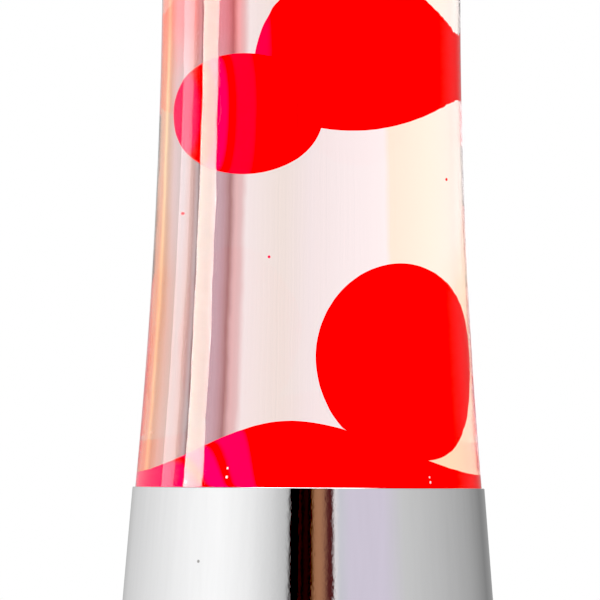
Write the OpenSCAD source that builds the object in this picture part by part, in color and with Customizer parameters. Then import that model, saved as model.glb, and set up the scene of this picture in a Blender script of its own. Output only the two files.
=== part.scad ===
// Lava lamp: a sealed glass bottle of wax and liquid, standing in a conical
// metal base that holds a screw-in reflector bulb, under a lift-off cap.
// Millimetres, +Z up. The origin is on the table, under the lamp's own axis.

/* [Base] */
// Height of the base's mouth above the table
base_h = 137; // [134:0.5:140]
// Outer radius of the base at its foot
foot_r = 55; // [54.5:0.5:58]
// Outer radius of the base at its mouth
mouth_r = 44.1; // [44.1:0.1:45]
// Thickness of the sheet metal in the base and the cap
sheet_t = 0.5; // [0.4:0.1:0.5]

/* [Bottle] */
// Outer radius of the bottle where it leaves the base
collar_r = 43.4; // [42.8:0.1:43.4]
// Outer radius of the bottle at its waist
waist_r = 37.35; // [37.3:0.05:37.6]
// Height of the waist above the table
waist_z = 270; // [260:1:280]
// Depth of the bottle inside the base
seat_depth = 16; // [15:0.5:16]
// Thickness of the bottle's wall
glass_t = 2.5; // [2:0.1:2.5]

/* [Cap] */
// Height of the cap's rim above the table
cap_z = 337; // [335:0.5:337]
// Outer radius of the cap at its rim
cap_r = 38.6; // [38.5:0.1:39]
// Height of the whole lamp
lamp_h = 395; // [395:0.5:398]

/* [Wax] */
// Height of the top of the wax that stays at the bottom
pool_top = 153; // [151:0.5:153.5]
// Lateral radius of the low blob, beside the axis
low_blob_r = 15; // [13:0.5:15]
// Lateral radius of the left blob
left_blob_r = 16.2; // [14:0.1:16.2]
// Lateral radius of the big blob
big_blob_r = 14.6; // [13:0.1:14.6]

/* [Hidden] */
$fn = 96;
eps = 0.5;                          // how far a cutter runs past a face

// Floor of the base: rubber feet under a steel plate
foot_h = 2.2;
plate_t = 1.2;
plate_top = foot_h + plate_t;
plate_r = foot_r - 1.2;
rubber_r = 5;
rubber_ring_r = foot_r - 14;
vent_r = 2.6;
vent_ring_r = 22;
vent_count = 8;

// Conical shell with an inward flange at its foot
corner_r = 2;
flange_w = 8;
lip_z = base_h - sheet_t / 2;
shell_slope = (foot_r - mouth_r) / (lip_z - plate_top - corner_r);
shell_tilt = atan(shell_slope);
function shell_r(z) = mouth_r + (lip_z - z) * shell_slope;

// M3 screws and nuts: heads under the plate, nuts above it
m3_r = 1.45;
m3_hole_r = 1.6;
m3_head_r = 2.8;
m3_head_h = 1.6;
m3_nut_r = 3.1;
m3_nut_h = 2.3;
m3_slot_w = 0.7;
flange_screw_r = foot_r - 4.8;
flange_screw_angles = [45, 135, 225, 315];

// Frame that carries the bottle: a dished ring on three legs
frame_t = 1.2;
leg_w = 10;
leg_r = 39.4;
leg_foot_l = 11;
leg_screw_r = 33;
leg_angles = [30, 150, 270];
ring_in_r = 27;
ring_out_r = 43.2;
ring_rim_h = 6;
gasket_t = 1.5;

// Bottle
bottle_z = base_h - seat_depth;
heel_r = 5;
floor_t = 4;
punt_r = 30;                        // the shallow hollow under the bottle
punt_h = 2;
seat_taper = 0.15;                  // how fast the hidden part narrows
shoulder_r = 16;
shoulder_z = 338;
shoulder_turn = 50;
neck_r = 14;
neck_bore_r = 9.5;
neck_z = 365;
neck_top = 388;
liquid_top = 350;
side_steps = 20;
function side_r(z) =
    waist_r + (collar_r - waist_r) * pow((waist_z - z) / (waist_z - base_h), 2);
function hidden_r(z) = collar_r - (base_h - z) * seat_taper;
gasket_z = bottle_z - gasket_t;
ring_z = gasket_z - frame_t;

// Crown cap on the bottle, and the lift-off cap over it
liner_t = 1;
crown_t = 0.4;
crown_h = 5;
crown_skirt_r = neck_r + 1.6;
crown_top = neck_top + liner_t + crown_t;
cap_edge_r = 7;
cap_top_r = 31;
cap_tilt = atan((cap_r - cap_top_r) / (lamp_h - cap_edge_r - cap_z));
pad_r = 13;

// Wax at the bottom: a bell-shaped surface
pool_edge_z = base_h + 1;
pool_fall_r = 40;
pool_steps = 16;
function pool_z(r) =
    pool_edge_z + (pool_top - pool_edge_z) * (1 + cos(180 * min(r / pool_fall_r, 1))) / 2;
film = 0.3;                         // liquid between the wax and what is round it

// Blobs: [x, y, height of the widest place, radius, height below, height above]
low_blob = [16.2, 0, 172, low_blob_r, 21.5, 21];
left_blob = [-14.1, -10.8, 230.3, left_blob_r, 14.3, 14.2];
big_blob = [6.3, 13, 243, big_blob_r, 15, 32];
blob_steps = 20;

// Wire coil that spreads the heat, lying in the wax
coil_ring_r = 24;
coil_r = 4.2;
wire_r = 0.6;
coil_turns = 22;
coil_rings = 10;                    // rings of facets in a turn
coil_z = bottle_z + floor_t + coil_r + wire_r + 0.5;
trough_r = coil_r + wire_r + 0.3;

// Lampholder and its bridge
bridge_z = 24.8;
bridge_half = 22;
bridge_w = 16;
bridge_foot_l = 12;
bridge_screw_x = 28;
nipple_r = 5;
nipple_bore_r = 3.4;
nipple_bottom = 14;
nipple_nut_r = 7.5;
nipple_nut_h = 3;
holder_z = bridge_z + frame_t;
holder_r = 14;
holder_wall = 1.4;
holder_floor = 2.5;
holder_top = 66;
holder_lip_r = 9.2;
nipple_top = holder_z + holder_floor + 3;
block_bottom = 34;
block_top = 43;
block_r = holder_r - holder_wall - 0.2;
ledge_r = 11;
thread_pitch = 2.82;                // the small Edison screw's
thread_depth = 0.3;
sleeve_r = 7.1;
sleeve_t = 0.45;
sleeve_top = 62;
contact_r = 3;
contact_t = 0.7;

// Reflector bulb
tip_z = 44;
tip_top = 45.4;
tip_r = 2.2;
insulator_top = 49;
screw_r = 6.9;
screw_in_r = 6.1;
screw_top = 65;
bulb_neck_r = 6;
bulb_neck_z = 60;
bulb_flare_z = 72;
bulb_flare_r = 8;
bulb_r = 19.5;
bulb_wide_z = 98;
bulb_top = 112;
bulb_t = 0.8;
bulb_steps = 10;
stem_r = 2.6;
stem_top = 80;
filament_z = 87;
filament_r = 5;
filament_wire_r = 0.3;
function reflector_r(z) =
    sqrt(pow(bulb_flare_r, 2)
        + (pow(bulb_r, 2) - pow(bulb_flare_r, 2)) * (z - bulb_flare_z) / (bulb_wide_z - bulb_flare_z));

// Terminal block behind the bridge
term_x = 4;
term_w = 17;
term_y = 21;
term_l = 14;
term_h = 11;
term_z = plate_top + 5.6;
barrel_r = 2.2;
barrel_bore_r = 1.25;
barrel_l = 11;
term_screw_r = 1.3;
term_screw_h = 3;
lead_r = 1;
lead_sides = 10;
// Route of a lead from its terminal up into the lampholder
lead_route = [
    [4, 24, 9], [4, 20, 9], [3.8, 16, 9], [3.3, 12, 9], [2.7, 8.5, 9], [2, 5.5, 9],
    [1.6, 3.2, 9.3], [1.45, 1.5, 10.2], [1.4, 0.5, 11.8], [1.4, 0, 14], [1.4, 0, 20],
    [1.4, 0, 28], [1.4, 0, 36]
];

// Rubber grommet where a cable would come in, at the back
grommet_z = 28;
grommet_r = 5;
grommet_bore_r = 3.2;
grommet_lip_r = 7;
grommet_lip_t = 1.2;
grommet_gap = 0.7;                  // room for the shell's curve behind the wall

// ---- outlines ----

// Arc of n steps about [x, z], from angle a to angle b
function arc(x, z, r, a, b, n) =
    [for (i = [0:n]) let (t = a + (b - a) * i / n) [x + r * cos(t), z + r * sin(t)]];

function reversed(pts) = [for (i = [len(pts) - 1:-1:0]) pts[i]];

// Side of the bottle at a depth d inside its outer face, from the heel to the neck's top
function bottle_side(d, floor_z, top_r, top_z) = concat(
    arc(hidden_r(bottle_z + heel_r) - heel_r, bottle_z + heel_r,
        heel_r - d, floor_z > bottle_z ? -35 : -90, 0, 6),
    [for (i = [0:side_steps])
        let (z = base_h + (waist_z - base_h) * i / side_steps) [side_r(z) - d, z]],
    arc(waist_r - shoulder_r, shoulder_z, shoulder_r - d, 0, shoulder_turn, 8),
    [[top_r, neck_z + (floor_z > bottle_z ? -1 : 0)], [top_r, top_z]]
);

// The bottle's inside, up to the mouth
inside_floor = bottle_z + floor_t;
inside_pts = concat(
    [[0, inside_floor], [hidden_r(bottle_z + heel_r) - heel_r, inside_floor]],
    bottle_side(glass_t, inside_floor, neck_bore_r, neck_top),
    [[0, neck_top]]
);

// Profile of a thread: rings a quarter pitch apart between two heights
function thread(r, z0, z1) =
    [for (i = [0:floor((z1 - z0) * 4 / thread_pitch)])
        let (z = z0 + i * thread_pitch / 4) [r - thread_depth * (i % 4 < 2 ? i % 2 : 1 - i % 2), z]];

// ---- shapes that repeat ----

module spin(pts) {
    rotate_extrude() polygon(pts);
}

module m3_screw(length) {
    difference() {
        cylinder(r = m3_head_r, h = m3_head_h);
        translate([-m3_head_r - eps, -m3_slot_w / 2, -eps])
            cube([2 * (m3_head_r + eps), m3_slot_w, eps + m3_head_h / 2]);
    }
    translate([0, 0, m3_head_h]) cylinder(r = m3_r, h = length, $fn = 32);
}

module m3_nut() {
    difference() {
        cylinder(r = m3_nut_r, h = m3_nut_h, $fn = 6);
        translate([0, 0, -eps]) cylinder(r = m3_r + 0.05, h = m3_nut_h + 2 * eps, $fn = 32);
    }
}

module on_ring(angles, r) {
    for (a = angles) rotate([0, 0, a]) translate([r, 0, 0]) children();
}

// Places of the screws that hold the frame, the bridge and the terminal block
module at_frame_screws() {
    on_ring(leg_angles, leg_screw_r) children();
    for (s = [-1, 1]) translate([s * bridge_screw_x, 0, 0]) children();
}

function unit(v) = v / norm(v);

// Round tube along a path; side_of gives the direction its rings start from
function ring_pts(p, dir, side, r, n) =
    let (u = unit(cross(dir, side)), v = unit(cross(dir, u)))
    [for (k = [0:n - 1]) p + r * (cos(360 * k / n) * u + sin(360 * k / n) * v)];

module tube(path, sides, r, n) {
    last = len(path) - 1;
    dirs = [for (i = [0:last]) unit(path[min(i + 1, last)] - path[max(i - 1, 0)])];
    pts = [for (i = [0:last]) each ring_pts(path[i], dirs[i], sides[i], r, n)];
    walls = [for (i = [0:last - 1]) for (k = [0:n - 1])
        let (a = i * n + k, b = i * n + (k + 1) % n)
        each [[a, b, b + n], [a, b + n, a + n]]];
    ends = [[for (k = [n - 1:-1:0]) k], [for (k = [0:n - 1]) last * n + k]];
    polyhedron(pts, concat(walls, ends));
}

// A blob grown by a film g, turned about its own upright axis
module blob(b, g) {
    translate([b[0], b[1], 0]) rotate_extrude()
        polygon(concat(
            [[0, b[2] - b[4] - g]],
            [for (i = [1:blob_steps - 1])
                let (a = 180 * i / blob_steps - 90, h = a < 0 ? b[4] : b[5])
                [(b[3] + g) * cos(a), b[2] + (h + g) * sin(a)]],
            [[0, b[2] + b[5] + g]]
        ));
}

// ---- base ----

module base_shell() {
    in_z = plate_top + sheet_t;
    color("silver") difference() {
        spin(concat(
            [[foot_r - flange_w, plate_top]],
            arc(foot_r - corner_r, plate_top + corner_r, corner_r, -90, 0, 6),
            arc(mouth_r - sheet_t / 2, lip_z, sheet_t / 2, 0, 180, 6),
            reversed(arc(foot_r - corner_r, plate_top + corner_r, corner_r - sheet_t, -90, 0, 6)),
            [[foot_r - flange_w, in_z]]
        ));
        on_ring(flange_screw_angles, flange_screw_r) cylinder(r = m3_hole_r, h = 3 * plate_top);
        at_grommet() translate([0, 0, -foot_r / 4]) cylinder(r = grommet_r, h = foot_r / 2);
    }
}

module bottom_plate() {
    color([0.12, 0.12, 0.13]) difference() {
        translate([0, 0, foot_h]) cylinder(r = plate_r, h = plate_t);
        on_ring(flange_screw_angles, flange_screw_r) cylinder(r = m3_hole_r, h = 3 * plate_top);
        at_frame_screws() cylinder(r = m3_hole_r, h = 3 * plate_top);
        on_ring([for (i = [0:vent_count - 1]) 360 * (i + 0.5) / vent_count], vent_ring_r)
            cylinder(r = vent_r, h = 3 * plate_top);
    }
}

module rubber_feet() {
    edge = 0.5;
    color([0.08, 0.08, 0.08]) on_ring([0, 90, 180, 270], rubber_ring_r)
        spin([[0, 0], [rubber_r - edge, 0], [rubber_r, edge], [rubber_r, foot_h], [0, foot_h]]);
}

module flange_screws() {
    color("gainsboro") on_ring(flange_screw_angles, flange_screw_r)
        translate([0, 0, foot_h - m3_head_h]) m3_screw(plate_t + sheet_t + m3_nut_h + 0.5);
}

module flange_nuts() {
    color("gainsboro") on_ring(flange_screw_angles, flange_screw_r)
        translate([0, 0, plate_top + sheet_t]) m3_nut();
}

module bottle_cradle() {
    color([0.62, 0.63, 0.65]) {
        spin([
            [ring_in_r, ring_z], [ring_out_r, ring_z], [ring_out_r, ring_z + ring_rim_h],
            [ring_out_r - frame_t, ring_z + ring_rim_h], [ring_out_r - frame_t, ring_z + frame_t],
            [ring_in_r, ring_z + frame_t]
        ]);
        for (a = leg_angles) rotate([0, 0, a]) {
            translate([leg_r - frame_t, -leg_w / 2, plate_top])
                cube([frame_t, leg_w, ring_z - plate_top + frame_t / 2]);
            difference() {
                translate([leg_r - leg_foot_l, -leg_w / 2, plate_top])
                    cube([leg_foot_l - frame_t / 2, leg_w, frame_t]);
                translate([leg_screw_r, 0, 0]) cylinder(r = m3_hole_r, h = 3 * plate_top);
            }
        }
    }
}

module frame_screws() {
    color("gainsboro") at_frame_screws()
        translate([0, 0, foot_h - m3_head_h]) m3_screw(plate_t + frame_t + m3_nut_h + 0.5);
}

module frame_nuts() {
    color("gainsboro") at_frame_screws() translate([0, 0, plate_top + frame_t]) m3_nut();
}

module seat_gasket() {
    color([0.85, 0.84, 0.8]) difference() {
        translate([0, 0, gasket_z]) cylinder(r = ring_out_r - 2 * frame_t - 1, h = gasket_t);
        translate([0, 0, gasket_z - eps]) cylinder(r = ring_in_r + 2, h = gasket_t + 2 * eps);
    }
}

// ---- lampholder ----

module holder_bracket() {
    color([0.7, 0.71, 0.73]) {
        difference() {
            translate([-bridge_half, -bridge_w / 2, bridge_z]) cube([2 * bridge_half, bridge_w, frame_t]);
            cylinder(r = nipple_r + 0.2, h = 2 * bridge_z);
        }
        for (s = [0, 180]) rotate([0, 0, s]) {
            translate([bridge_half - frame_t, -bridge_w / 2, plate_top])
                cube([frame_t, bridge_w, bridge_z - plate_top + frame_t / 2]);
            difference() {
                translate([bridge_half - frame_t / 2, -bridge_w / 2, plate_top])
                    cube([bridge_foot_l, bridge_w, frame_t]);
                translate([bridge_screw_x, 0, 0]) cylinder(r = m3_hole_r, h = 3 * plate_top);
            }
        }
    }
}

module holder_nipple() {
    color([0.75, 0.65, 0.35]) translate([0, 0, nipple_bottom]) difference() {
        cylinder(r = nipple_r, h = nipple_top - nipple_bottom);
        translate([0, 0, -eps]) cylinder(r = nipple_bore_r, h = nipple_top);
    }
}

module nipple_nut() {
    color([0.75, 0.65, 0.35]) translate([0, 0, bridge_z - nipple_nut_h]) difference() {
        cylinder(r = nipple_nut_r, h = nipple_nut_h, $fn = 6);
        translate([0, 0, -eps]) cylinder(r = nipple_r + 0.05, h = nipple_nut_h + 2 * eps);
    }
}

module holder_shell() {
    in_r = holder_r - holder_wall;
    color([0.93, 0.92, 0.88]) spin([
        [nipple_r + 0.05, holder_z], [holder_r - 1, holder_z], [holder_r, holder_z + 1],
        [holder_r, holder_top - 1], [holder_r - 1, holder_top], [holder_lip_r, holder_top],
        [holder_lip_r, holder_top - holder_wall], [in_r, holder_top - holder_wall],
        [in_r, block_bottom], [ledge_r, block_bottom], [ledge_r, holder_z + holder_floor],
        [nipple_r + 0.05, holder_z + holder_floor]
    ]);
}

module holder_contact_block() {
    color([0.95, 0.94, 0.9]) difference() {
        translate([0, 0, block_bottom]) cylinder(r = block_r, h = block_top - block_bottom);
        for (s = [-1, 1]) translate([s * lead_route[12][0], 0, block_bottom - eps])
            cylinder(r = lead_r + 0.1, h = lead_route[12][2] - block_bottom + eps);
    }
}

module holder_sleeve() {
    threads = thread(sleeve_r + thread_depth, block_top + 0.6, sleeve_top);
    color([0.8, 0.68, 0.3]) spin(concat(
        [[sleeve_r, block_top], [ledge_r, block_top], [ledge_r, block_top + sleeve_t],
         [sleeve_r + thread_depth + sleeve_t, block_top + sleeve_t],
         [sleeve_r + thread_depth + sleeve_t, sleeve_top], [sleeve_r, sleeve_top]],
        reversed(threads)
    ));
}

module centre_contact() {
    color([0.8, 0.68, 0.3]) translate([0, 0, block_top]) {
        cylinder(r = contact_r, h = contact_t);
        translate([0, -1, 0]) cube([contact_r + 2.5, 2, contact_t / 2]);
    }
}

// ---- wiring ----

module terminal_block() {
    color([0.92, 0.92, 0.9]) difference() {
        translate([-term_w / 2, term_y, plate_top]) cube([term_w, term_l, term_h]);
        for (s = [-1, 1]) translate([s * term_x, term_y - eps, term_z]) rotate([-90, 0, 0])
            cylinder(r = barrel_r, h = term_l + 2 * eps, $fn = 48);
        at_term_screws() cylinder(r = term_screw_r + 0.2, h = term_h, $fn = 32);
    }
}

module at_term_screws() {
    for (s = [-1, 1]) for (y = [4, 10])
        translate([s * term_x, term_y + y, term_z]) children();
}

module terminal_barrels() {
    color([0.8, 0.68, 0.3]) difference() {
        for (s = [-1, 1]) translate([s * term_x, term_y + (term_l - barrel_l) / 2, term_z])
            rotate([-90, 0, 0]) difference() {
                cylinder(r = barrel_r, h = barrel_l, $fn = 48);
                translate([0, 0, -eps]) cylinder(r = barrel_bore_r, h = barrel_l + 2 * eps, $fn = 48);
            }
        at_term_screws() cylinder(r = term_screw_r + 0.05, h = term_h, $fn = 32);
    }
}

module terminal_screws() {
    color("gainsboro") at_term_screws() translate([0, 0, lead_r + 0.15]) difference() {
        cylinder(r = term_screw_r, h = term_screw_h, $fn = 32);
        translate([-term_screw_r - eps, -m3_slot_w / 2, term_screw_h - 0.8])
            cube([2 * (term_screw_r + eps), m3_slot_w, 2]);
    }
}

module lead(s) {
    path = [for (p = lead_route) [s * p[0], p[1], p[2]]];
    tube(path, [for (p = path) [1, 0, 0]], lead_r, lead_sides);
}

module live_lead() {
    color([0.45, 0.24, 0.1]) lead(-1);
}

module neutral_lead() {
    color([0.1, 0.25, 0.7]) lead(1);
}

// The grommet's axis stands square on the shell's slope, pointing out
module at_grommet() {
    translate([0, shell_r(grommet_z), grommet_z]) rotate([-90 + shell_tilt, 0, 0]) children();
}

module cable_grommet() {
    wall = sheet_t + grommet_gap;
    color([0.08, 0.08, 0.08]) at_grommet() rotate_extrude() polygon([
        [grommet_bore_r, -wall - grommet_lip_t], [grommet_lip_r - 0.5, -wall - grommet_lip_t],
        [grommet_lip_r, -wall - grommet_lip_t + 0.5], [grommet_lip_r, -wall],
        [grommet_r - 0.05, -wall], [grommet_r - 0.05, 0.05], [grommet_lip_r, 0.05],
        [grommet_lip_r, grommet_lip_t - 0.5], [grommet_lip_r - 0.5, grommet_lip_t],
        [grommet_bore_r, grommet_lip_t]
    ]);
}

// ---- bulb ----

// Bulb's outline at a depth d inside the glass, from its neck to its crown
function bulb_side(d) = concat(
    [[bulb_neck_r - d, bulb_neck_z], [bulb_neck_r - d, screw_top + 1]],
    [for (i = [0:bulb_steps])
        let (z = bulb_flare_z + (bulb_wide_z - bulb_flare_z) * i / bulb_steps) [reflector_r(z) - d, z]],
    [for (i = [1:bulb_steps])
        let (a = 90 * i / bulb_steps)
        [(bulb_r - d) * cos(a), bulb_wide_z + (bulb_top - d - bulb_wide_z) * sin(a)]]
);

module bulb_envelope() {
    color([0.95, 0.95, 0.93, 0.6]) spin(concat(bulb_side(0), reversed(bulb_side(bulb_t))));
}

module bulb_screw_shell() {
    color([0.82, 0.75, 0.5]) spin(concat(
        [[screw_in_r, insulator_top]],
        thread(screw_r, insulator_top, screw_top),
        [[screw_r - thread_depth, screw_top], [screw_in_r, screw_top]]
    ));
}

module bulb_insulator() {
    color([0.1, 0.1, 0.12]) spin([
        [0, tip_top], [tip_r + 0.6, tip_top], [screw_in_r - 0.1, insulator_top],
        [screw_in_r - 0.1, insulator_top + 1.5], [0, insulator_top + 1.5]
    ]);
}

module bulb_tip() {
    color([0.75, 0.75, 0.77]) spin([
        [0, tip_z], [tip_r * 0.6, tip_z + 0.2], [tip_r, tip_top - 0.4], [tip_r, tip_top], [0, tip_top]
    ]);
}

module bulb_stem() {
    color([0.9, 0.92, 0.92, 0.6]) spin([
        [0, bulb_neck_z], [bulb_neck_r - bulb_t - 0.1, bulb_neck_z],
        [stem_r, bulb_neck_z + 6], [stem_r, stem_top], [0, stem_top]
    ]);
}

module bulb_filament() {
    foot_z = stem_top + filament_wire_r / 2;
    rise = filament_z - foot_z;
    run = filament_r - stem_r / 2;
    color([0.35, 0.35, 0.37]) {
        translate([0, 0, filament_z]) rotate([0, 0, 20]) rotate_extrude(angle = 320)
            translate([filament_r, 0]) circle(r = filament_wire_r, $fn = 24);
        for (s = [0, 90, 180, 270]) rotate([0, 0, s + 45]) translate([stem_r / 2, 0, foot_z])
            rotate([0, atan(run / rise), 0])
                cylinder(r = filament_wire_r, h = norm([rise, run]), $fn = 24);
    }
}

// ---- bottle ----

module bottle_glass() {
    outside = concat(
        [[0, bottle_z + punt_h], [punt_r, bottle_z]],
        bottle_side(0, bottle_z, neck_r, neck_top)
    );
    color([0.95, 0.9, 0.88, 0.35])
        spin(concat(outside, reversed([for (i = [0:len(inside_pts) - 2]) inside_pts[i]])));
}

// The bell-shaped surface between the wax and the liquid, from the wall to the axis
pool_surface = concat(
    [[foot_r, pool_edge_z]],
    [for (i = [pool_steps:-1:1]) let (r = pool_fall_r * i / pool_steps) [r, pool_z(r)]],
    [[0, pool_top]]
);

module wax_pool() {
    color([0.95, 0.05, 0.08]) difference() {
        intersection() {
            spin(inside_pts);
            spin(concat([[0, bottle_z], [foot_r, bottle_z]], pool_surface));
        }
        rotate_extrude() translate([coil_ring_r, 0]) {
            translate([0, coil_z]) circle(r = trough_r, $fn = 48);
            translate([-trough_r, bottle_z]) square([2 * trough_r, coil_z - bottle_z]);
        }
    }
}

module heating_coil() {
    count = coil_turns * coil_rings;
    path = [for (i = [0:count])
        let (a = 350 * i / count, t = 360 * i / coil_rings, r = coil_ring_r + coil_r * cos(t))
        [r * cos(a), r * sin(a), coil_z + coil_r * sin(t)]];
    sides = [for (i = [0:count]) let (a = 350 * i / count) [-sin(a), cos(a), 0]];
    color([0.75, 0.76, 0.78]) tube(path, sides, wire_r, 8);
}

module liquid() {
    color([0.99, 0.9, 0.86, 0.3]) difference() {
        intersection() {
            spin(inside_pts);
            spin(concat(pool_surface, [[0, liquid_top], [foot_r, liquid_top]]));
        }
        blob(low_blob, film);
        blob(left_blob, film);
        blob(big_blob, film);
    }
}

module crown_cap() {
    color("silver") spin([
        [0, crown_top - crown_t], [neck_r, crown_top - crown_t],
        [crown_skirt_r - crown_t, crown_top - crown_h], [crown_skirt_r, crown_top - crown_h],
        [neck_r + crown_t, crown_top - crown_t / 2], [neck_r, crown_top], [0, crown_top]
    ]);
}

module crown_liner() {
    color([0.9, 0.9, 0.86]) translate([0, 0, neck_top]) cylinder(r = neck_r - 0.5, h = liner_t);
}

// ---- wax that rises and sinks ----

module wax_blob_low() {
    color([0.95, 0.05, 0.08]) blob(low_blob, 0);
}

module wax_blob_left() {
    color([0.95, 0.05, 0.08]) blob(left_blob, 0);
}

module wax_blob_big() {
    color([0.95, 0.05, 0.08]) blob(big_blob, 0);
}

// ---- cap ----

module top_cap() {
    edge_z = lamp_h - cap_edge_r;
    edge_x = cap_top_r - cap_edge_r;
    color("silver") spin(concat(
        [[cap_r - sheet_t, cap_z], [cap_r, cap_z]],
        arc(edge_x, edge_z, cap_edge_r, cap_tilt, 90, 8),
        [[0, lamp_h], [0, lamp_h - sheet_t]],
        reversed(arc(edge_x, edge_z, cap_edge_r - sheet_t, cap_tilt, 90, 8))
    ));
}

module cap_pad() {
    color([0.3, 0.3, 0.32]) translate([0, 0, crown_top])
        cylinder(r = pad_r, h = lamp_h - sheet_t - crown_top);
}

base_shell();
bottom_plate();
rubber_feet();
flange_screws();
flange_nuts();
bottle_cradle();
frame_screws();
frame_nuts();
seat_gasket();
holder_bracket();
holder_nipple();
nipple_nut();
holder_shell();
holder_contact_block();
holder_sleeve();
centre_contact();
terminal_block();
terminal_barrels();
terminal_screws();
live_lead();
neutral_lead();
cable_grommet();
bulb_envelope();
bulb_screw_shell();
bulb_insulator();
bulb_tip();
bulb_stem();
bulb_filament();
bottle_glass();
liquid();
wax_pool();
heating_coil();
crown_cap();
crown_liner();
wax_blob_low();
wax_blob_left();
wax_blob_big();
top_cap();
cap_pad();
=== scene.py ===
"""Lava lamp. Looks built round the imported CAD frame: metres, +Z up, the lamp's axis on Z."""
import math

import bmesh
import bpy
from mathutils import Matrix, Vector, noise


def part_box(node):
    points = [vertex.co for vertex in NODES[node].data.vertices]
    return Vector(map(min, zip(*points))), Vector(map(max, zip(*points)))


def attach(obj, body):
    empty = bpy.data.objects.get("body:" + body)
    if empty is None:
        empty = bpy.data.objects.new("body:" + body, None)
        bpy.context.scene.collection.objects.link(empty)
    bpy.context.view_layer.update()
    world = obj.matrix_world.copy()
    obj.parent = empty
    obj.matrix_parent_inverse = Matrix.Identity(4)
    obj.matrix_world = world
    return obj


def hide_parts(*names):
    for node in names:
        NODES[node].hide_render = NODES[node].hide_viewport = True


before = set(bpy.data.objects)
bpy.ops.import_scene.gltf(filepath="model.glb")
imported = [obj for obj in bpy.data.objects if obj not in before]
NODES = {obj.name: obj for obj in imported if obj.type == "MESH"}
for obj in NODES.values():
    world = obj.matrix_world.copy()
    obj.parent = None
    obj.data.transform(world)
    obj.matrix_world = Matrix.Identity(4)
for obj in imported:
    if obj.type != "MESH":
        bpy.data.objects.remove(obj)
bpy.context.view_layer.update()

MM = 0.001
TURN = 192              # segments round a spun piece
FINE_TURN = 256         # round the clear pieces, whose edges bend what is seen through them
CHROME_TURN = 360       # round the mirror-bright pieces


# ---------------------------------------------------------------- sizes, in millimetres

def top_mm(node):
    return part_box(node)[1].z / MM


def bottom_mm(node):
    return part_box(node)[0].z / MM


def radius_mm(node):
    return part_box(node)[1].x / MM


BASE_H = top_mm("base_shell")
LAMP_H = top_mm("top_cap")
CAP_Z = bottom_mm("top_cap")
CAP_R = radius_mm("top_cap")
BOTTLE_Z = bottom_mm("bottle_glass")
NECK_TOP = top_mm("bottle_glass")
LIQUID_TOP = top_mm("liquid")
POOL_TOP = top_mm("wax_pool")
PLATE_TOP = top_mm("bottom_plate")
FOOT_R = radius_mm("base_shell")

SHEET = 0.5             # sheet metal of the shell and the cap
MOUTH_R = 44.1
CORNER_R = 2.0
FLANGE_W = 8.0
COLLAR_R = 43.4
WAIST_R = 37.35
WAIST_Z = 270.0
GLASS_T = 2.5
HEEL_R = 5.0
FLOOR_T = 4.0
PUNT_R = 30.0
PUNT_H = 2.0
SEAT_TAPER = 0.15
SHOULDER_R = 16.0
SHOULDER_Z = 338.0
SHOULDER_TURN = 50.0
NECK_R = 14.0
NECK_BORE_R = 9.5
NECK_Z = 365.0
CAP_EDGE_R = 7.0
CAP_TOP_R = 31.0
POOL_R = 40.0
POOL_EDGE = BASE_H + 0.3
POOL_LOW = 0.4          # how far the mound's top stays under the CAD pool's
POOL_SHIFT = 3.2        # how far the mound's top stands to the left of the axis


def side_r(z):
    """Outer radius of the bottle between the base's mouth and the waist."""
    return WAIST_R + (COLLAR_R - WAIST_R) * ((WAIST_Z - z) / (WAIST_Z - BASE_H)) ** 2


def hidden_r(z):
    """Outer radius of the bottle inside the base."""
    return COLLAR_R - (BASE_H - z) * SEAT_TAPER


def pool_z(x, y):
    """Height of the molten wax: a mound with its top a little to the left of the axis."""
    out = min(math.hypot(x + POOL_SHIFT * (1 - min(math.hypot(x, y) / POOL_R, 1)), y) / POOL_R, 1)
    return POOL_EDGE + (POOL_TOP - POOL_LOW - POOL_EDGE) * (1 + math.cos(math.pi * out)) / 2


# ---------------------------------------------------------------- mesh helpers

def arc(x, z, r, start, end, steps):
    """Points of an arc about (x, z), from one angle to another in degrees."""
    angles = [math.radians(start + (end - start) * i / steps) for i in range(steps + 1)]
    return [(x + r * math.cos(a), z + r * math.sin(a)) for a in angles]


def line(a, b, steps):
    return [(a[0] + (b[0] - a[0]) * i / steps, a[1] + (b[1] - a[1]) * i / steps) for i in range(steps + 1)]


def mesh_object(name, bm, sharp=35):
    mesh = bpy.data.meshes.new(name)
    bmesh.ops.remove_doubles(bm, verts=bm.verts, dist=1e-7)
    bmesh.ops.recalc_face_normals(bm, faces=bm.faces)
    bm.to_mesh(mesh)
    bm.free()
    mesh.shade_smooth()
    mesh.set_sharp_from_angle(angle=math.radians(sharp))
    obj = bpy.data.objects.new(name, mesh)
    bpy.context.scene.collection.objects.link(obj)
    return obj


def spin(name, outline, turn=TURN, warp=None, sharp=35):
    """A closed outline of (radius, height) in mm turned about Z. warp(r, z, angle) may move a point."""
    bm = bmesh.new()
    rings = []
    for r, z in outline:
        count = 1 if r < 1e-6 else turn
        ring = []
        for k in range(count):
            a = 2 * math.pi * k / turn
            wr, wz = warp(r, z, a) if warp else (r, z)
            ring.append(bm.verts.new((wr * math.cos(a) * MM, wr * math.sin(a) * MM, wz * MM)))
        rings.append(ring)
    for i, low in enumerate(rings):
        high = rings[(i + 1) % len(rings)]
        if len(low) == 1 and len(high) == 1:
            continue
        for k in range(turn):
            n = (k + 1) % turn
            if len(low) == 1:
                bm.faces.new((low[0], high[k], high[n]))
            elif len(high) == 1:
                bm.faces.new((low[k], low[n], high[0]))
            else:
                bm.faces.new((low[k], low[n], high[n], high[k]))
    return mesh_object(name, bm, sharp)


def stand_in(piece, body, node, material):
    """The piece is shown in place of one CAD node."""
    piece.data.materials.clear()
    piece.data.materials.append(material)
    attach(piece, body)
    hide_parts(node)
    return piece


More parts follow.
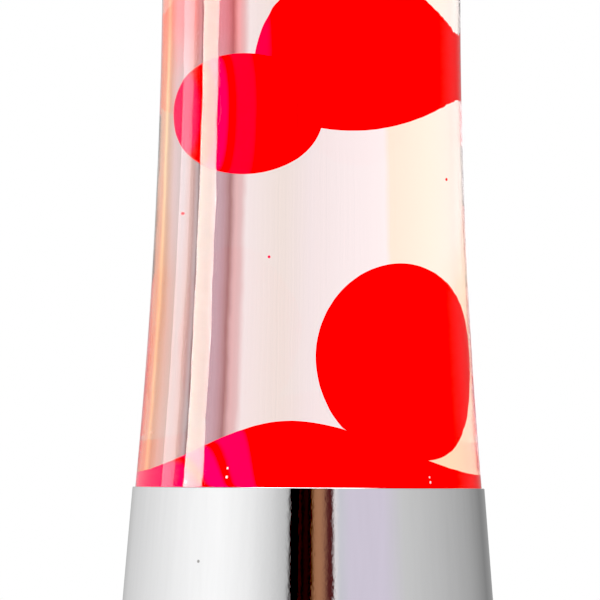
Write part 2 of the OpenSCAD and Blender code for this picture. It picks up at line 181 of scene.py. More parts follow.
def keep(node, material, bevel=0.0):
    """A CAD node is shown as it is, with a better material and eased edges."""
    obj = NODES[node]
    obj.data.materials.clear()
    obj.data.materials.append(material)
    if bevel:
        mod = obj.modifiers.new("eased", "BEVEL")
        mod.width = bevel * MM
        mod.segments = 2
        mod.limit_method = "ANGLE"
        mod.angle_limit = math.radians(40)


# ---------------------------------------------------------------- materials

class Mat:
    """A node material with one Principled shader, and short ways to add nodes."""

    def __init__(self, name, **values):
        self.mat = bpy.data.materials.new(name)
        self.mat.use_nodes = True
        self.tree = self.mat.node_tree
        self.tree.nodes.clear()
        self.out = self.tree.nodes.new("ShaderNodeOutputMaterial")
        self.bsdf = self.tree.nodes.new("ShaderNodeBsdfPrincipled")
        self.link(self.bsdf.outputs[0], self.out.inputs["Surface"])
        for key, value in values.items():
            self.set(key.replace("_", " "), value)

    def set(self, socket, value):
        wanted = socket.lower()
        found = next(s for s in self.bsdf.inputs if s.name.lower() == wanted)
        if found.type == "RGBA":
            value = (*value, 1.0)
        found.default_value = value

    def link(self, a, b):
        self.tree.links.new(a, b)

    def node(self, kind, **settings):
        made = self.tree.nodes.new("ShaderNode" + kind)
        for key, value in settings.items():
            if key in made.inputs:
                made.inputs[key].default_value = value
            else:
                setattr(made, key, value)
        return made

    def coords(self, stretch=(1, 1, 1)):
        texture = self.node("TexCoord")
        mapping = self.node("Mapping")
        mapping.inputs["Scale"].default_value = stretch
        self.link(texture.outputs["Object"], mapping.inputs["Vector"])
        return mapping.outputs["Vector"]

    def noise(self, scale, detail=3.0, stretch=(1, 1, 1), roughness=0.5):
        made = self.node("TexNoise", Scale=scale, Detail=detail, Roughness=roughness)
        self.link(self.coords(stretch), made.inputs["Vector"])
        return made.outputs["Fac"]

    def span(self, value, low, high, from_min=0.0, from_max=1.0):
        made = self.node("MapRange")
        numbers = {"From Min": from_min, "From Max": from_max, "To Min": low, "To Max": high}
        for key, number in numbers.items():
            made.inputs[key].default_value = number
        self.link(value, made.inputs["Value"])
        return made.outputs["Result"]

    def mix(self, factor, a, b):
        made = self.node("Mix", data_type="RGBA")
        self.link(factor, made.inputs["Factor"])
        for key, value in (("A", a), ("B", b)):
            socket = next(s for s in made.inputs if s.name == key and s.type == "RGBA")
            if isinstance(value, tuple):
                socket.default_value = (*value, 1.0)
            else:
                self.link(value, socket)
        return next(s for s in made.outputs if s.type == "RGBA")

    def drive(self, socket, value):
        wanted = socket.lower()
        self.link(value, next(s for s in self.bsdf.inputs if s.name.lower() == wanted))

    def bump(self, height, strength, distance):
        made = self.node("Bump", Strength=strength, Distance=distance)
        self.link(height, made.inputs["Height"])
        self.link(made.outputs["Normal"], self.bsdf.inputs["Normal"])


def chrome(name):
    """Polished plating: fine upright polishing lines, a faint grain and small dark specks."""
    m = Mat(name, metallic=1.0, roughness=0.03)
    lines = m.noise(420, 3, (1, 1, 0.02))
    bright = m.mix(lines, (0.91, 0.91, 0.915), (0.98, 0.98, 0.985))
    speck = m.node("TexVoronoi", Scale=55.0, feature="F1")
    m.link(m.coords(), speck.inputs["Vector"])
    clean = m.span(speck.outputs["Distance"], 0.0, 1.0, 0.018, 0.03)
    m.drive("base color", m.mix(clean, (0.4, 0.39, 0.38), bright))
    m.drive("roughness", m.span(m.noise(45, 4, (1, 1, 0.6)), 0.012, 0.06, 0.35, 0.8))
    m.bump(m.noise(800, 4, (1, 1, 0.7), 0.65), 1.0, 0.000012)
    return m.mat


def painted(name, colour, roughness=0.45, grain=900, depth=0.00003):
    m = Mat(name, roughness=roughness)
    darker = tuple(c * 0.82 for c in colour)
    lighter = tuple(c * 1.12 for c in colour)
    m.drive("base color", m.mix(m.noise(60, 4), darker, lighter))
    m.drive("roughness", m.span(m.noise(120, 3), roughness - 0.08, roughness + 0.1))
    m.bump(m.noise(grain, 2), 0.5, depth)
    return m.mat


def metal(name, colour, roughness=0.3, brushed=(1, 1, 1), scale=300):
    m = Mat(name, metallic=1.0, roughness=roughness)
    m.drive("base color", m.mix(m.noise(80, 3), tuple(c * 0.86 for c in colour), colour))
    m.drive("roughness", m.span(m.noise(scale, 4, brushed), roughness - 0.1, roughness + 0.14))
    m.bump(m.noise(scale * 2, 2, brushed), 0.25, 0.00002)
    return m.mat


def clear(name, colour, ior, shine=1.0, smear=0.0):
    """A clear solid. Shine under 1 takes away its head-on reflections, as where glass is wet."""
    m = Mat(name, base_color=colour, roughness=0.0, ior=ior, transmission_weight=1.0)
    m.set("specular tint", (shine, shine, shine))
    if smear:
        m.bump(m.noise(70, 3, (1, 1, 0.35)), smear, 0.0001)
    return m.mat


# Bands of painted reflection, where the wax's painted glow is a cooler red: left and right edge in mm from
# the axis towards +X, and the blue added between them.
POOL_PAINTED_REFLECTIONS = [(-40, -26, 0.12), (-23, -20, 0.16), (-17, -13, 0.12)]
LEFT_PAINTED_REFLECTIONS = [(-31, -27, 0.1), (-22, -20, 0.12), (-17, -13, 0.04)]
BIG_PAINTED_REFLECTIONS = [(-9.5, -7.5, 0.08)]
PAINTED_REFLECTION_FADE = 1           # mm over which the edge of a band fades
PAINTED_REFLECTION_REACH = 45         # mm from the axis that the bands may reach


def wax(name, painted_reflections):
    """Warm translucent wax, with a painted glow that stands in for the bulb's light through it, and bands of
    painted reflection.
    """
    m = Mat(name, roughness=0.35, emission_strength=1.0)
    m.set("specular ior level", 0.0)
    cloud = m.noise(28, 3, (1, 1, 0.5))
    texture = m.node("TexCoord")
    place = m.node("SeparateXYZ")
    m.link(texture.outputs["Object"], place.inputs[0])
    across = m.span(place.outputs["X"], 0.0, 1.0, -PAINTED_REFLECTION_REACH * MM, 0)
    # Bands of painted reflection across the wax, as blue added to its painted glow.
    tint = m.node("ValToRGB")
    elements = tint.color_ramp.elements
    elements.remove(elements[1])
    elements[0].color = (0.0, 0.0, 0.0, 1.0)
    for left, right, blue in painted_reflections:
        for x, value in ((left - PAINTED_REFLECTION_FADE, 0.0), (left, blue), (right, blue), (right + PAINTED_REFLECTION_FADE, 0.0)):
            element = elements.new(1 + x / PAINTED_REFLECTION_REACH)
            element.color = (0.0, 0.0, value, 1.0)
    m.link(across, tint.inputs[0])
    # The painted glow: red emission, a little uneven, in place of the bulb's light through the wax.
    red = m.mix(cloud, (0.93, 0.0, 0.0), (1.0, 0.0, 0.0))
    total = m.node("Mix", data_type="RGBA", blend_type="ADD")
    total.inputs[0].default_value = 1.0
    m.link(red, total.inputs[6])
    m.link(tint.outputs[0], total.inputs[7])
    m.drive("base color", m.mix(cloud, (0.24, 0.0, 0.0), (0.34, 0.0, 0.0)))
    m.link(total.outputs[2], m.bsdf.inputs["Emission Color"])
    m.bump(m.noise(55, 2), 0.15, 0.0004)
    return m.mat


CHROME = chrome("polished_chrome")
GLASS = clear("bottle_glass_clear", (0.995, 0.99, 0.99), 1.5, shine=0.35, smear=1.0)
WET_GLASS = clear("bottle_glass_wet", (0.995, 0.99, 0.99), 1.5, shine=0.0)
LIQUID = clear("liquid_clear", (0.99, 0.965, 0.965), 1.36, shine=0.0)
POOL_WAX = wax("red_wax_pool", POOL_PAINTED_REFLECTIONS)
LEFT_WAX = wax("red_wax_left", LEFT_PAINTED_REFLECTIONS)
BIG_WAX = wax("red_wax_big", BIG_PAINTED_REFLECTIONS)
BLACK_ENAMEL = painted("black_enamel", (0.03, 0.03, 0.033))
RUBBER = painted("black_rubber_matt", (0.022, 0.022, 0.023), 0.7, 1500, 0.00004)
SILICONE = painted("seat_silicone", (0.72, 0.71, 0.67), 0.5)
ZINC = metal("zinc_plate", (0.72, 0.73, 0.75), 0.3)
GALVANISED = metal("galvanised_sheet_steel", (0.6, 0.61, 0.63), 0.35, (1, 1, 6), 60)
BRASS = metal("plain_brass", (0.83, 0.64, 0.28), 0.25)
HOLDER_PLASTIC = painted("lampholder_plastic", (0.83, 0.81, 0.75), 0.4)
PORCELAIN = painted("glazed_porcelain", (0.86, 0.85, 0.8), 0.14, 200, 0.00001)
BROWN_WIRE = painted("brown_insulation", (0.16, 0.055, 0.02), 0.35)
BLUE_WIRE = painted("blue_insulation", (0.02, 0.08, 0.36), 0.35)
CAP_METAL = metal("bulb_cap_metal", (0.8, 0.77, 0.68), 0.22)
BLACK_GLASS = painted("black_insulator_glass", (0.012, 0.012, 0.015), 0.12, 300, 0.00001)
SOLDER = metal("solder_dull", (0.55, 0.55, 0.57), 0.45)
TUNGSTEN = metal("tungsten_wire", (0.3, 0.3, 0.32), 0.4)
COIL_STEEL = metal("coil_wire_steel", (0.66, 0.67, 0.69), 0.25)
TINPLATE = metal("crown_tinplate", (0.82, 0.82, 0.83), 0.2)
LINER = painted("crown_liner_soft", (0.8, 0.8, 0.75), 0.55)
FOAM = painted("dense_foam", (0.12, 0.12, 0.13), 0.9, 700, 0.0003)
STEM_GLASS = clear("stem_glass_clear", (0.96, 0.97, 0.97), 1.5)


def bubble(name):
    """The skin of an air bubble, glowing white as a painted glint."""
    m = Mat(name, roughness=0.1, base_color=(0.95, 0.9, 0.9), emission_color=(1.0, 0.88, 0.88))
    m.drive("emission strength", m.span(m.noise(900, 2), 0.55, 0.95))
    return m.mat


BUBBLE_GLINT = bubble("air_bubble_painted_glint")


def frosted_reflector(name):
    """Mirror silvering behind, frosted crown in front: the finish changes at the widest place."""
    m = Mat(name, roughness=0.12)
    separate = m.node("SeparateXYZ")
    texture = m.node("TexCoord")
    m.link(texture.outputs["Object"], separate.inputs[0])
    widest, change = 99 * MM, 0.5 * MM
    front = m.span(separate.outputs["Z"], 0.0, 1.0, widest - change, widest + change)
    m.drive("base color", m.mix(front, (0.82, 0.82, 0.84), (0.92, 0.9, 0.85)))
    m.drive("metallic", m.span(front, 1.0, 0.0))
    m.drive("roughness", m.span(front, 0.1, 0.55))
    m.bump(m.noise(1200, 2), 0.3, 0.00003)
    return m.mat


REFLECTOR = frosted_reflector("reflector_bulb_glass")


# ---------------------------------------------------------------- base

def build_base():
    lip_z = BASE_H - SHEET / 2
    corner = (FOOT_R - CORNER_R, PLATE_TOP + CORNER_R)
    outline = (
        [(FOOT_R - FLANGE_W, PLATE_TOP)]
        + arc(*corner, CORNER_R, -90, 0, 12)
        + line((FOOT_R, corner[1]), (MOUTH_R, lip_z), 40)[1:-1]
        + arc(MOUTH_R - SHEET / 2, lip_z, SHEET / 2, 0, 180, 12)
        + line((MOUTH_R - SHEET, lip_z), (FOOT_R - SHEET, corner[1]), 40)[1:-1]
        + arc(*corner, CORNER_R - SHEET, 0, -90, 12)
        + [(FOOT_R - FLANGE_W, PLATE_TOP + SHEET)]
    )
    shell = spin("conical_shell", outline, turn=CHROME_TURN)
    stand_in(shell, "base", "base_shell", CHROME)

    keep("bottom_plate", BLACK_ENAMEL, 0.3)
    keep("rubber_feet", RUBBER, 0.3)
    for node in ("flange_screws", "frame_screws"):
        keep(node, ZINC, 0.25)
    for node in ("flange_nuts", "frame_nuts"):
        keep(node, ZINC, 0.15)
    keep("bottle_cradle", GALVANISED, 0.3)
    keep("holder_bracket", GALVANISED, 0.3)
    keep("cable_grommet", RUBBER, 0.3)
    keep("seat_gasket", SILICONE, 0.4)


def build_holder():
    keep("holder_nipple", BRASS, 0.2)
    keep("nipple_nut", BRASS, 0.3)
    keep("holder_shell", HOLDER_PLASTIC, 0.5)
    keep("holder_contact_block", PORCELAIN, 0.5)
    keep("holder_sleeve", BRASS, 0.1)
    keep("centre_contact", BRASS, 0.15)
    keep("terminal_block", HOLDER_PLASTIC, 0.6)
    keep("terminal_barrels", BRASS, 0.2)
    keep("terminal_screws", ZINC, 0.2)
    keep("live_lead", BROWN_WIRE)
    keep("neutral_lead", BLUE_WIRE)


# ---------------------------------------------------------------- bulb

def build_bulb():
    keep("bulb_envelope", REFLECTOR)
    keep("bulb_screw_shell", CAP_METAL, 0.1)
    keep("bulb_insulator", BLACK_GLASS, 0.3)
    keep("bulb_tip", SOLDER, 0.3)
    keep("bulb_stem", STEM_GLASS)
    keep("bulb_filament", TUNGSTEN)


# ---------------------------------------------------------------- bottle

def bottle_side(depth, inside, top_r, top_z):
    """The bottle's wall from its heel to the neck's top, at a depth inside its outer face."""
    heel = (hidden_r(BOTTLE_Z + HEEL_R) - HEEL_R, BOTTLE_Z + HEEL_R)
    steps = 60
    heights = [BASE_H + (WAIST_Z - BASE_H) * i / steps for i in range(steps + 1)]
    shoulder = (WAIST_R - SHOULDER_R, SHOULDER_Z)
    shoulder_arc = arc(*shoulder, SHOULDER_R - depth, 0, SHOULDER_TURN, 16)
    return (
        arc(*heel, HEEL_R - depth, -35 if inside else -90, 0, 12)
        + [(side_r(z) - depth, z) for z in heights]
        + line((WAIST_R - depth, WAIST_Z), (WAIST_R - depth, SHOULDER_Z), 12)[1:-1]
        + shoulder_arc
        + [(top_r, NECK_Z - (1 if inside else 0)), (top_r, top_z)]
    )


def inside_outline(grow, top_z):
    """The bottle's hollow up to a height, a little larger or smaller than it is."""
    floor, floor_inset = BOTTLE_Z + FLOOR_T - grow, 3
    wall = bottle_side(GLASS_T - grow, True, NECK_BORE_R + grow, NECK_TOP)
    side = [p for p in wall if p[1] < top_z]
    over = next(p for p in wall if p[1] >= top_z)
    share = (top_z - side[-1][1]) / (over[1] - side[-1][1])
    edge = (side[-1][0] + (over[0] - side[-1][0]) * share, top_z)
    return [(0, floor), (side[0][0] - floor_inset, floor)] + side + [edge]


def build_bottle():
    outside = [(0, BOTTLE_Z + PUNT_H), (PUNT_R, BOTTLE_Z)] + bottle_side(0, False, NECK_R, NECK_TOP)
    eased = 0.6
    outside[-1] = (NECK_R - eased, NECK_TOP)
    outside.insert(-1, (NECK_R, NECK_TOP - eased))
    inside = [(0, BOTTLE_Z + FLOOR_T), (hidden_r(BOTTLE_Z + HEEL_R) - HEEL_R, BOTTLE_Z + FLOOR_T)]
    inside += bottle_side(GLASS_T, True, NECK_BORE_R, NECK_TOP)
    glass = spin("clear_bottle", outside + inside[::-1], turn=FINE_TURN)
    stand_in(glass, "bottle", "bottle_glass", GLASS)
    glass.data.materials.append(WET_GLASS)
    # The inner faces that the liquid and the wax touch are wet.
    for face in glass.data.polygons:
        x, y, z = face.center / MM
        if BOTTLE_Z + FLOOR_T - 0.5 < z < LIQUID_TOP and Vector((x, y, 0)).dot(face.normal) < 0:
            face.material_index = 1
        if abs(z - BOTTLE_Z - FLOOR_T) < 0.1 and face.normal.z > 0.9:
            face.material_index = 1

    # The liquid climbs the glass a little, and falls away from it over about the reach.
    meniscus, meniscus_reach = 1.2, 1.5
    surface = inside_outline(0.05, LIQUID_TOP + meniscus)
    top_r = surface[-1][0]
    curve = [(top_r * (1 - t), LIQUID_TOP + meniscus * math.exp(-t * top_r / meniscus_reach)) for t in
             (0.01, 0.03, 0.06, 0.1, 0.16, 0.3, 0.6)]
    liquid = spin("liquid_fill", surface + curve + [(0, LIQUID_TOP)], turn=FINE_TURN)
    stand_in(liquid, "bottle", "liquid", LIQUID)

    keep("heating_coil", COIL_STEEL)
    keep("crown_liner", LINER, 0.2)
    build_crown_cap()


def build_crown_cap():
    """A pressed crown cap with twenty-one flutes round its skirt, growing towards the rim."""
    top = top_mm("crown_cap")
    rim = bottom_mm("crown_cap")
    rim_r = radius_mm("crown_cap")
    tin, flute, flutes = 0.4, 0.3, 21
    bend_r, bend_end = 1.3, 8
    corner = (13.2, top - bend_r)
    skirt = line((14.5, top - 1.4), (rim_r - flute, rim), 10)
    outer = [(0, top), (7, top - 0.05)] + arc(*corner, bend_r, 90, bend_end, 8) + skirt
    inner = (
        [(r - tin, z) for r, z in reversed(skirt)]
        + arc(*corner, bend_r - tin, bend_end, 90, 8)
        + [(0, top - tin)]
    )
    plain_top = top - 1.2

    def fluted(r, z, angle):
        share = max(0.0, min(1.0, (plain_top - z) / (plain_top - rim)))
        return r + flute * share * math.cos(flutes * angle), z

    cap = spin("fluted_crown_cap", outer + inner, turn=12 * flutes, warp=fluted, sharp=60)
    stand_in(cap, "bottle", "crown_cap", TINPLATE)


# ---------------------------------------------------------------- wax

def build_pool():
    """Molten wax at the bottom, from the glass floor to its mounded top."""
    side = inside_outline(-0.15, POOL_EDGE)
    edge_r = side[-1][0]
    rings, turn = 48, 160
    top = [(edge_r * (1 - i / rings), POOL_EDGE) for i in range(1, rings + 1)]
    pool = spin("molten_wax_pool", side + top, turn=turn)
    for v in pool.data.vertices:
        if v.co.z > (POOL_EDGE - 0.01) * MM:
            inward = 1 - math.hypot(v.co.x, v.co.y) / MM / edge_r
            swell = 0.5 * inward * noise.noise(v.co * 60)
            v.co.z = (pool_z(v.co.x / MM, v.co.y / MM) + swell) * MM
    stand_in(pool, "bottle", "wax_pool", POOL_WAX)


REST_GAP = 0.05         # between a resting blob and the pool under it
REST_EASE = 0.4         # how softly the blob's underside turns to follow the pool


def blob(name, node, body, material, centre, radius, below, above,
         bend=(0, 0), square=1.0, wobble=0.4, seed=0.0, rests=False):
    """A wax blob: half an ellipsoid below its widest place and half above, each bent in x on its own."""
    bm = bmesh.new()
    bmesh.ops.create_icosphere(bm, subdivisions=6, radius=1.0)
    for v in bm.verts:
        d = v.co.normalized()
        low = d.z < 0
        flat = math.hypot(d.x, d.y)
        share = flat ** square / flat if low and flat > 1e-9 else 1.0
        soft = 1 + wobble / radius * noise.noise(d * 1.3 + Vector((seed, seed, seed)))
        x = centre[0] + d.x * share * radius * soft + bend[0 if low else 1] * d.z * d.z
        y = centre[1] + d.y * share * radius * soft
        z = centre[2] + d.z * (below if low else above)
        if rests:
            floor, ease = pool_z(x, y) + REST_GAP, REST_EASE
            z = (z + floor + math.hypot(z - floor, ease)) / 2
        v.co = Vector((x, y, z)) * MM
    piece = mesh_object(name, bm, 80)
    return stand_in(piece, body, node, material)


def build_blobs():
    blob("low_wax_blob", "wax_blob_low", "low_blob", POOL_WAX, (16.6, 0, 169.3), 15.4, 26.6, 23.3,
         bend=(3.3, 0.6), square=0.8, wobble=0.2, seed=3.1, rests=True)
    blob("left_wax_blob", "wax_blob_left", "left_blob", LEFT_WAX, (-13.8, -10.8, 230.2), 16.5, 15.5, 14.8,
         seed=7.7)
    blob("big_wax_blob", "wax_blob_big", "big_blob", BIG_WAX, (6.9, 12.6, 240), 16.2, 13.9, 28,
         bend=(-0.2, -0.7), wobble=0.2, seed=5.2)


BEAD_STRETCH = 1.25     # how much taller than wide a bead is


def bead_string(name, places, material):
    """Small beads: each has its azimuth from the front, distance from the axis, height and radius."""
    bm = bmesh.new()
    for azimuth, out, z, radius in places:
        a = math.radians(azimuth)
        centre = Vector((out * math.sin(a), -out * math.cos(a), z)) * MM
        place = Matrix.Translation(centre) @ Matrix.Diagonal((1, 1, BEAD_STRETCH, 1))
        bmesh.ops.create_icosphere(bm, subdivisions=3, radius=radius * MM, matrix=place)
    piece = mesh_object(name, bm, 180)
    piece.data.materials.append(material)
    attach(piece, "bottle")
    return piece


def build_beads():
    """Loose droplets of wax in the liquid, and air bubbles that cling to the glass over the molten wax."""
    droplets = [
        (-60, 9, 194, 0.28), (95, 26, 214, 0.3), (160, 20, 262, 0.35), (-120, 24, 205, 0.3),
        (35, 12, 300, 0.3),
    ]
    bead_string("loose_wax_droplets", droplets, BIG_WAX)
    bubble_height, bubble_sink = 140, 0.22
    wall = side_r(bubble_height) - GLASS_T - bubble_sink
    bubbles = [
        (-29, wall, 141.6, 0.24), (-29.3, wall, 139.4, 0.3), (46, wall, 139.6, 0.22),
        (46.4, wall, 138.4, 0.25), (-47, wall, 138.2, 0.3), (110, wall, 139.5, 0.3),
        (175, wall, 140.5, 0.28),
    ]
    # The air bubbles glow white with painted glints.
    bead_string("clinging_air_bubbles", bubbles, BUBBLE_GLINT)


# ---------------------------------------------------------------- cap

def build_cap():
    edge = (CAP_TOP_R - CAP_EDGE_R, LAMP_H - CAP_EDGE_R)
    tilt = math.degrees(math.atan((CAP_R - CAP_TOP_R) / (edge[1] - CAP_Z)))
    outer = arc(*edge, CAP_EDGE_R, tilt, 90, 24)
    inner = arc(*edge, CAP_EDGE_R - SHEET, tilt, 90, 24)
    lip = arc(CAP_R - SHEET / 2, CAP_Z + SHEET / 2, SHEET / 2, -180, 0, 10)
    outline = (
        lip
        + line(lip[-1], outer[0], 24)[1:-1]
        + outer
        + [(outer[-1][0] * 0.6, LAMP_H), (outer[-1][0] * 0.3, LAMP_H), (0, LAMP_H), (0, LAMP_H - SHEET)]
        + inner[::-1]
        + line(inner[0], lip[0], 24)[1:-1]
    )
    cap = spin("chrome_cap", outline, turn=CHROME_TURN)
    stand_in(cap, "cap", "top_cap", CHROME)
    keep("cap_pad", FOAM, 0.4)


build_base()
build_holder()
build_bulb()
build_bottle()
build_pool()
build_blobs()
build_beads()
build_cap()


# ---------------------------------------------------------------- studio

def build_floor():
    radius, segments = 1.2, 96
    bm = bmesh.new()
    bmesh.ops.create_circle(bm, cap_ends=True, segments=segments, radius=radius)
    floor = mesh_object("studio_floor", bm)
    paper = Mat("studio_paper", roughness=0.9)
    texture = paper.node("TexCoord")
    length = paper.node("VectorMath", operation="LENGTH")
    paper.link(texture.outputs["Object"], length.inputs[0])
    out = paper.span(length.outputs["Value"], 0.0, 1.0, 0.1, 1.1)
    near = paper.mix(paper.noise(6, 3), (0.6, 0.6, 0.605), (0.64, 0.64, 0.645))
    paper.drive("base color", paper.mix(out, near, (0.93, 0.93, 0.93)))
    floor.data.materials.append(paper.mat)
    floor.visible_transmission = False


# What stands round the lamp, by azimuth in degrees: 0 is towards the camera, 90 to its right.
# The first ring is for rays that pass through the bottle, and the second for reflections and for the
# light that falls on matt pieces.
SEEN_THROUGH = [
    (-180, (0.95, 0.85, 0.85)), (-164.5, (1.05, 0.95, 0.95)), (-163.5, (1.05, 0.9, 0.75)),
    (-150, (1.1, 1.0, 0.85)), (-132, (1.25, 1.1, 1.0)), (-118, (1.75, 1.6, 1.5)), (-90, (0.9, 0.85, 0.8)),
    (-25, (0.7, 0.7, 0.7)), (60, (0.6, 0.6, 0.6)), (107, (0.95, 0.85, 0.8)), (113, (1.1, 0.5, 0.25)),
    (124, (1.05, 0.5, 0.3)), (128, (1.3, 0.9, 0.5)), (131.5, (0.8, 0.5, 0.35)), (138, (0.85, 0.65, 0.65)),
    (145, (0.7, 0.6, 0.6)), (149.5, (0.75, 0.5, 0.45)), (151, (0.5, 0.3, 0.3)), (152, (0.6, 0.5, 0.5)),
    (153, (0.2, 0.1, 0.1)), (158, (0.2, 0.1, 0.1)), (158.5, (0.6, 0.4, 0.45)), (161.5, (0.6, 0.4, 0.45)),
    (162, (0.5, 0.25, 0.25)), (163.5, (0.4, 0.2, 0.2)), (164, (0.2, 0.1, 0.1)), (164.5, (0.8, 0.5, 0.5)),
    (166, (0.8, 0.55, 0.55)), (166.5, (0.95, 0.85, 0.85)), (175, (0.9, 0.8, 0.75)), (180, (0.95, 0.85, 0.85)),
]
REFLECTED = [
    (-180, (0.45, 0.45, 0.45)), (-152, (0.65, 0.65, 0.65)), (-113, (0.8, 0.8, 0.8)),
    (-80, (0.95, 0.95, 0.95)), (-60, (1.0, 1.0, 1.0)), (-40, (0.9, 0.9, 0.9)),
    (-24, (0.7, 0.7, 0.7)), (-13, (0.5, 0.5, 0.5)), (-12, (0.01, 0.0, 0.0)),
    (-7, (0.01, 0.0, 0.0)), (-6, (0.1, 0.05, 0.05)), (-5, (0.02, 0.0, 0.01)),
    (-1, (0.05, 0.01, 0.03)), (2, (0.01, 0.01, 0.01)), (3.5, (0.35, 0.17, 0.1)),
    (7.5, (0.4, 0.2, 0.12)), (10.5, (0.3, 0.15, 0.1)), (12, (0.12, 0.05, 0.05)),
    (15.5, (0.1, 0.04, 0.04)), (16.5, (0.8, 0.75, 0.75)), (20, (0.6, 0.6, 0.65)),
    (27, (0.65, 0.6, 0.7)), (50, (0.65, 0.6, 0.7)), (64, (0.6, 0.6, 0.6)),
    (96, (0.5, 0.5, 0.5)), (124, (0.4, 0.4, 0.4)), (150, (0.25, 0.25, 0.25)),
    (170, (0.35, 0.35, 0.35)), (180, (0.45, 0.45, 0.45)),
]
# Name, azimuth, width in metres, radiance and colour of each strip box.
STRIPS = [
    ("cream_box", -81.3, 0.168, 33, (1.0, 0.88, 0.78)),
    ("side_box", -106, 0.136, 4, (1.0, 0.9, 0.95)),
]
# Tints of what is seen through the bottle: the rise of a ray at which each starts and is full, the same
# for the ray's part towards +X, and the colour. The bottle is a lens that swaps left and right, so from
# the front they are rosy high on the left, and orange low on the left and low on the right.
TINTS = [
    ((0.012, 0.036), (0.22, 0.3), (1.35, 0.72, 0.74)),
    ((-0.01, -0.06), (0.45, 0.75), (1.0, 0.72, 0.55)),
    ((-0.03, -0.065), (-0.3, -0.5), (1.0, 0.82, 0.62)),
]
LOW_VIEW = (-0.05, -0.3)        # rays through the bottle that fall this steeply turn to one pale colour
LOW_COLOUR = (0.88, 0.83, 0.83)
HIGH_VIEW = (0.25, 0.6)         # all rays that rise this steeply turn to one grey
HIGH_COLOUR = (0.34, 0.345, 0.36)


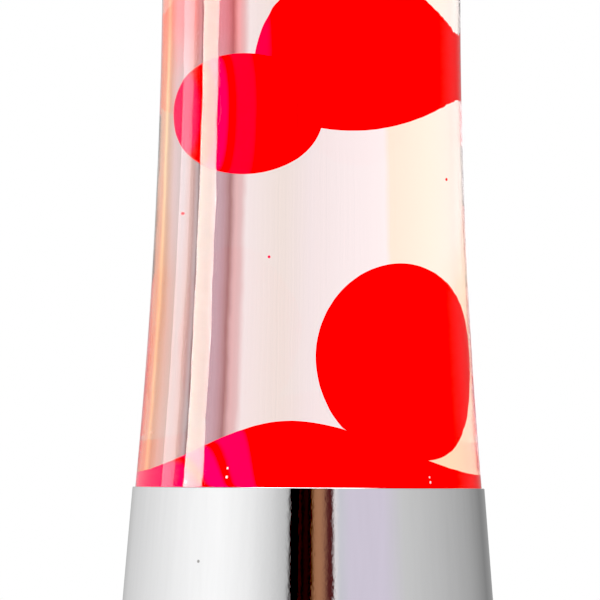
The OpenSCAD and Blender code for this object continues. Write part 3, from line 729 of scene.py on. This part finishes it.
def build_world():
    """Rings of soft bands for the glass and the chrome, and plain white for the camera."""
    world = bpy.data.worlds.new("studio")
    bpy.context.scene.world = world
    world.use_nodes = True
    tree = world.node_tree
    tree.nodes.clear()

    def node(kind, **settings):
        made = tree.nodes.new("ShaderNode" + kind)
        for key, value in settings.items():
            setattr(made, key, value)
        return made

    def ramp(factor, stops):
        made = node("ValToRGB")
        elements = made.color_ramp.elements
        elements.remove(elements[1])
        for i, (azimuth, colour) in enumerate(stops):
            place = (azimuth + 180) / 360
            element = elements[0] if i == 0 else elements.new(place)
            element.position = place
            element.color = (*colour, 1)
        tree.links.new(factor, made.inputs[0])
        return made.outputs[0]

    def mixed(factor, a, b):
        made = node("Mix", data_type="RGBA")
        tree.links.new(factor, made.inputs[0])
        for index, value in ((6, a), (7, b)):
            if isinstance(value, tuple):
                made.inputs[index].default_value = (*value, 1)
            else:
                tree.links.new(value, made.inputs[index])
        return made.outputs[2]

    def tinted(colour, height, side, tint):
        """The colour multiplied by a tint where both a height and a side of the wall ask for it."""
        both = node("Math", operation="MULTIPLY")
        tree.links.new(height, both.inputs[0])
        tree.links.new(side, both.inputs[1])
        made = node("Mix", data_type="RGBA", blend_type="MULTIPLY")
        tree.links.new(both.outputs[0], made.inputs[0])
        tree.links.new(colour, made.inputs[6])
        made.inputs[7].default_value = (*tint, 1)
        return made.outputs[2]

    def stepped(value, low, high):
        made = node("MapRange", interpolation_type="SMOOTHSTEP")
        made.inputs["From Min"].default_value = low
        made.inputs["From Max"].default_value = high
        tree.links.new(value, made.inputs["Value"])
        return made.outputs[0]

    def wavered(value, where):
        """The value shaken a very little up the height of the wall, so that upright edges are not ruled."""
        waver, fineness = 0.0012, 420
        height = node("CombineXYZ")
        tree.links.new(where.outputs["Z"], height.inputs["Z"])
        tree.links.new(where.outputs["X"], height.inputs["X"])
        shake = node("TexNoise")
        shake.inputs["Scale"].default_value = fineness
        shake.inputs["Detail"].default_value = 4
        tree.links.new(height.outputs[0], shake.inputs["Vector"])
        made = node("MapRange")
        made.inputs["To Min"].default_value = -waver
        made.inputs["To Max"].default_value = waver
        tree.links.new(shake.outputs[0], made.inputs["Value"])
        total = node("Math", operation="ADD")
        tree.links.new(value, total.inputs[0])
        tree.links.new(made.outputs[0], total.inputs[1])
        return total.outputs[0]

    def streaked(colour, turn, where):
        """The colour with faint upright streaks, a few to each degree."""
        streaks, depth = 900, 0.1
        place = node("CombineXYZ")
        scaled = node("Math", operation="MULTIPLY")
        scaled.inputs[1].default_value = streaks
        tree.links.new(turn, scaled.inputs[0])
        tree.links.new(scaled.outputs[0], place.inputs["X"])
        tree.links.new(where.outputs["Z"], place.inputs["Z"])
        grain = node("TexNoise")
        grain.inputs["Scale"].default_value = 1.4
        grain.inputs["Detail"].default_value = 3
        tree.links.new(place.outputs[0], grain.inputs["Vector"])
        made = node("MapRange")
        made.inputs["To Min"].default_value = 1 - depth
        made.inputs["To Max"].default_value = 1 + depth
        tree.links.new(grain.outputs[0], made.inputs["Value"])
        strength = node("VectorMath", operation="SCALE")
        tree.links.new(colour, strength.inputs[0])
        tree.links.new(made.outputs[0], strength.inputs["Scale"])
        return strength.outputs[0]

    direction = node("SeparateXYZ")
    tree.links.new(node("TexCoord").outputs["Generated"], direction.inputs[0])
    flipped = node("Math", operation="MULTIPLY")
    flipped.inputs[1].default_value = -1
    tree.links.new(direction.outputs["Y"], flipped.inputs[0])
    azimuth = node("Math", operation="ARCTAN2")
    tree.links.new(direction.outputs["X"], azimuth.inputs[0])
    tree.links.new(flipped.outputs[0], azimuth.inputs[1])
    share = node("MapRange")
    share.inputs["From Min"].default_value = -math.pi
    share.inputs["From Max"].default_value = math.pi
    tree.links.new(azimuth.outputs[0], share.inputs["Value"])
    path = node("LightPath")
    behind = streaked(ramp(wavered(share.outputs[0], direction), SEEN_THROUGH), share.outputs[0], direction)
    rise, across = direction.outputs["Z"], direction.outputs["X"]
    for height, side, tint in TINTS:
        behind = tinted(behind, stepped(rise, *height), stepped(across, *side), tint)
    behind = mixed(stepped(rise, *LOW_VIEW), behind, LOW_COLOUR)
    around = ramp(share.outputs[0], REFLECTED)
    walls = mixed(path.outputs["Is Transmission Ray"], around, behind)
    room = mixed(stepped(rise, *HIGH_VIEW), walls, HIGH_COLOUR)
    seen = node("Background")
    tree.links.new(room, seen.inputs[0])
    plain = node("Background")
    plain.inputs[0].default_value = (1, 1, 1, 1)
    chosen = node("MixShader")
    tree.links.new(path.outputs["Is Camera Ray"], chosen.inputs[0])
    tree.links.new(seen.outputs[0], chosen.inputs[1])
    tree.links.new(plain.outputs[0], chosen.inputs[2])
    tree.links.new(chosen.outputs[0], node("OutputWorld").inputs[0])


def build_lights():
    """Tall strip boxes to the left, which light only the bottle, and a large soft box above."""
    lit = bpy.data.collections.new("lit_by_the_strips")
    lit.objects.link(bpy.data.objects["clear_bottle"])
    distance, height, middle = 0.6, 0.8, 0.405
    for name, azimuth, width, radiance, colour in STRIPS:
        a = math.radians(azimuth)
        strip = bpy.data.lights.new(name, "AREA")
        strip.shape = "RECTANGLE"
        strip.size = width
        strip.size_y = height
        strip.energy = radiance * math.pi * width * height
        strip.color = colour
        obj = bpy.data.objects.new(name, strip)
        obj.location = (distance * math.sin(a), -distance * math.cos(a), middle)
        obj.rotation_euler = (Vector((0, 0, middle)) - obj.location).to_track_quat("-Z", "Y").to_euler()
        obj.visible_camera = False
        bpy.context.scene.collection.objects.link(obj)
        obj.light_linking.receiver_collection = lit

    ceiling_z, ceiling_size, ceiling_watts = 2.2, 1.6, 36
    top = bpy.data.lights.new("ceiling_box", "AREA")
    top.size = ceiling_size
    top.energy = ceiling_watts
    obj = bpy.data.objects.new("ceiling_box", top)
    obj.location = (0, 0, ceiling_z)
    obj.visible_camera = False
    bpy.context.scene.collection.objects.link(obj)


def build_camera():
    """A long lens level with the base's mouth, tipped up a little and rolled a third of a degree."""
    distance = 2.6
    picture, scale = 600, 3.99      # pixels across the picture, and pixels to a mm at the lamp's axis
    view_width = picture / scale * MM
    left, lift = 2.4 * MM, 47 * MM
    roll = math.radians(0.33)
    data = bpy.data.cameras.new("camera")
    data.sensor_width = 36
    data.lens = data.sensor_width * distance / view_width
    data.clip_start, data.clip_end = 0.1, 50
    cam = bpy.data.objects.new("camera", data)
    target = Vector((-left, 0, BASE_H * MM + lift))
    cam.location = (-left, -distance, BASE_H * MM)
    turn = (target - cam.location).to_track_quat("-Z", "Y").to_matrix().to_4x4()
    cam.matrix_world = Matrix.Translation(cam.location) @ turn @ Matrix.Rotation(roll, 4, "Z")
    bpy.context.scene.collection.objects.link(cam)
    bpy.context.scene.camera = cam


build_floor()
build_world()
build_lights()
build_camera()

BLACK_LEVEL = 0.03
scene = bpy.context.scene
scene.view_settings.view_transform = "Standard"
scene.view_settings.look = "None"
scene.view_settings.use_curve_mapping = True
scene.view_settings.curve_mapping.black_level = (BLACK_LEVEL, BLACK_LEVEL, BLACK_LEVEL)
scene.view_settings.curve_mapping.update()
scene.cycles.use_denoising = True
scene.cycles.max_bounces = 24
scene.cycles.transmission_bounces = 24
scene.cycles.glossy_bounces = 8
scene.cycles.transparent_max_bounces = 16
scene.cycles.sample_clamp_indirect = 8
